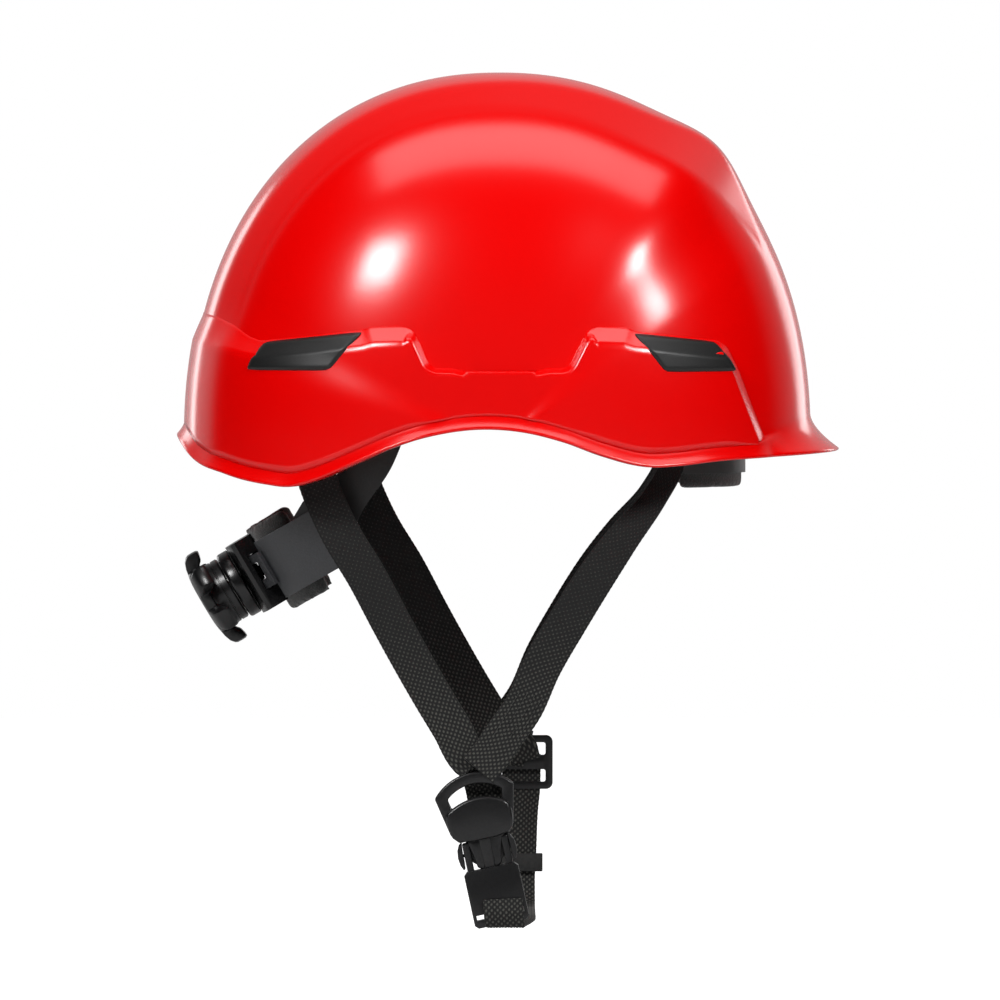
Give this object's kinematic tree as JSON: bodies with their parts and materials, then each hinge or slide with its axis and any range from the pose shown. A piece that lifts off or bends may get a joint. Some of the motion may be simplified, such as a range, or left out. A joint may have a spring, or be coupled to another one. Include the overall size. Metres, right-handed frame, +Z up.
{
  "type": "climbing helmet",
  "caption": "Glossy red moulded climbing helmet with lamp clips, webbing cradle, rear ratchet adjuster and a chin harness with side-release buckle.",
  "frame": {"origin": "centre of the head seat, on the middle plane at headband height", "axes": "+X to the wearer's front, +Y to the wearer's left, +Z up"},
  "size_m": [0.2912, 0.222, 0.3724],
  "materials": {
    "shell_red": "glossy injection-moulded ABS",
    "clip_black": "satin moulded nylon",
    "inner_plastic": "satin moulded polyethylene",
    "webbing": "coarse woven polyester webbing",
    "padding": "knitted fabric over foam",
    "arm_grey": "dark grey moulded polypropylene",
    "ratchet_black": "polished moulded nylon",
    "spring_steel": "spring steel wave washer",
    "buckle_black": "moulded acetal",
    "keeper_rubber": "elastic keeper"
  },
  "bodies": {
    "root": {"brow_pad": "padding", "buckle_frame": "buckle_black", "chin_strap": "webbing", "crown_pad": "padding", "crown_strap_1": "webbing", "crown_strap_2": "webbing", "crown_strap_3": "webbing", "front_strap_left": "webbing", "front_strap_right": "webbing", "hanger_pin_left": "inner_plastic", "hanger_pin_right": "inner_plastic", "headband": "inner_plastic", "left_slider": "buckle_black", "outer_shell": "shell_red", "rear_strap_left": "webbing", "rear_strap_right": "webbing", "strap_anchor_front_left": "inner_plastic", "strap_anchor_front_right": "inner_plastic", "strap_anchor_rear_left": "inner_plastic", "strap_anchor_rear_right": "inner_plastic", "strap_keeper": "keeper_rubber", "suspension_key_1": "inner_plastic", "suspension_key_2": "inner_plastic", "suspension_key_3": "inner_plastic", "suspension_key_4": "inner_plastic", "suspension_key_5": "inner_plastic", "suspension_key_6": "inner_plastic"},
    "nape_hangers": {"nape_hanger_right": "inner_plastic", "nape_hanger_left": "inner_plastic"},
    "ratchet": {"ratchet_housing": "ratchet_black", "ratchet_collar": "ratchet_black", "detent_spring": "spring_steel", "nape_pad": "padding"},
    "arm_right": {"nape_arm_right": "arm_grey"},
    "arm_left": {"nape_arm_left": "arm_grey"},
    "knob": {"ratchet_knob": "ratchet_black", "knob_cap": "ratchet_black", "pinion": "ratchet_black"},
    "socket": {"buckle_socket": "buckle_black"},
    "prong_rear": {"buckle_prong_rear": "buckle_black"},
    "prong_front": {"buckle_prong_front": "buckle_black"},
    "clip_rear_right": {"lamp_clip_rear_right": "clip_black"},
    "clip_front_right": {"lamp_clip_front_right": "clip_black"},
    "clip_rear_left": {"lamp_clip_rear_left": "clip_black"},
    "clip_front_left": {"lamp_clip_front_left": "clip_black"}
  },
  "joints": [
    {"name": "nape_tilt", "type": "hinge", "parent": "root", "child": "nape_hangers", "pos_m": [-0.046, 0, 0.012], "axis": [0, 1, 0], "range_deg": [-8, 8]},
    {"name": "size_adjust", "type": "slide", "parent": "nape_hangers", "child": "ratchet", "axis": [-0.8616, 0, -0.5075], "range_m": [-0.006, 0.006]},
    {"name": "arm_right_slide", "type": "hinge", "parent": "ratchet", "child": "arm_right", "pos_m": [-0.0433, 0, -0.0209], "axis": [-0.5075, 0, 0.8616], "range_deg": [-5, 5]},
    {"name": "arm_left_slide", "type": "hinge", "parent": "ratchet", "child": "arm_left", "pos_m": [-0.0433, 0, -0.0209], "axis": [-0.5075, 0, 0.8616], "range_deg": [-5, 5]},
    {"name": "knob_turn", "type": "hinge", "parent": "ratchet", "child": "knob", "pos_m": [-0.0433, 0, -0.0209], "axis": [-0.8616, 0, -0.5075], "range_deg": [-82, 82]},
    {"name": "clip_flex_rear_right", "type": "hinge", "parent": "root", "child": "clip_rear_right", "pos_m": [-0.09311, -0.08395, 0.0314], "axis": [0.8255, -0.5644, 0], "range_deg": [0, 7], "stiffness_Nm_per_rad": 0.5},
    {"name": "clip_flex_front_right", "type": "hinge", "parent": "root", "child": "clip_front_right", "pos_m": [0.08911, -0.08659, 0.0314], "axis": [0.8444, 0.5357, 0], "range_deg": [0, 7], "stiffness_Nm_per_rad": 0.5},
    {"name": "clip_flex_rear_left", "type": "hinge", "parent": "root", "child": "clip_rear_left", "pos_m": [-0.09311, 0.08395, 0.0314], "axis": [-0.8255, -0.5644, 0], "range_deg": [0, 7], "stiffness_Nm_per_rad": 0.5},
    {"name": "clip_flex_front_left", "type": "hinge", "parent": "root", "child": "clip_front_left", "pos_m": [0.08911, 0.08659, 0.0314], "axis": [-0.8444, 0.5357, 0], "range_deg": [0, 7], "stiffness_Nm_per_rad": 0.5},
    {"name": "buckle_release", "type": "slide", "parent": "root", "child": "socket", "axis": [0.2113, 0, -0.9774], "range_m": [0, 0.022], "deforming": ["chin_strap"]},
    {"name": "prong_squeeze_rear", "type": "hinge", "parent": "root", "child": "prong_rear", "pos_m": [-0.01521, -0.0783, -0.17379], "axis": [0, -1, 0], "range_deg": [0, 6], "stiffness_Nm_per_rad": 0.2},
    {"name": "prong_squeeze_front", "type": "hinge", "parent": "root", "child": "prong_front", "pos_m": [0.0016, -0.0783, -0.17015], "axis": [0, 1, 0], "range_deg": [0, 6], "stiffness_Nm_per_rad": 0.2}
  ],
  "couplings": [
    {"joint": "arm_right_slide", "follows": "size_adjust", "rad_per_m": 13.717},
    {"joint": "arm_left_slide", "follows": "size_adjust", "rad_per_m": -13.316},
    {"joint": "knob_turn", "follows": "size_adjust", "rad_per_m": -232.56}
  ]
}
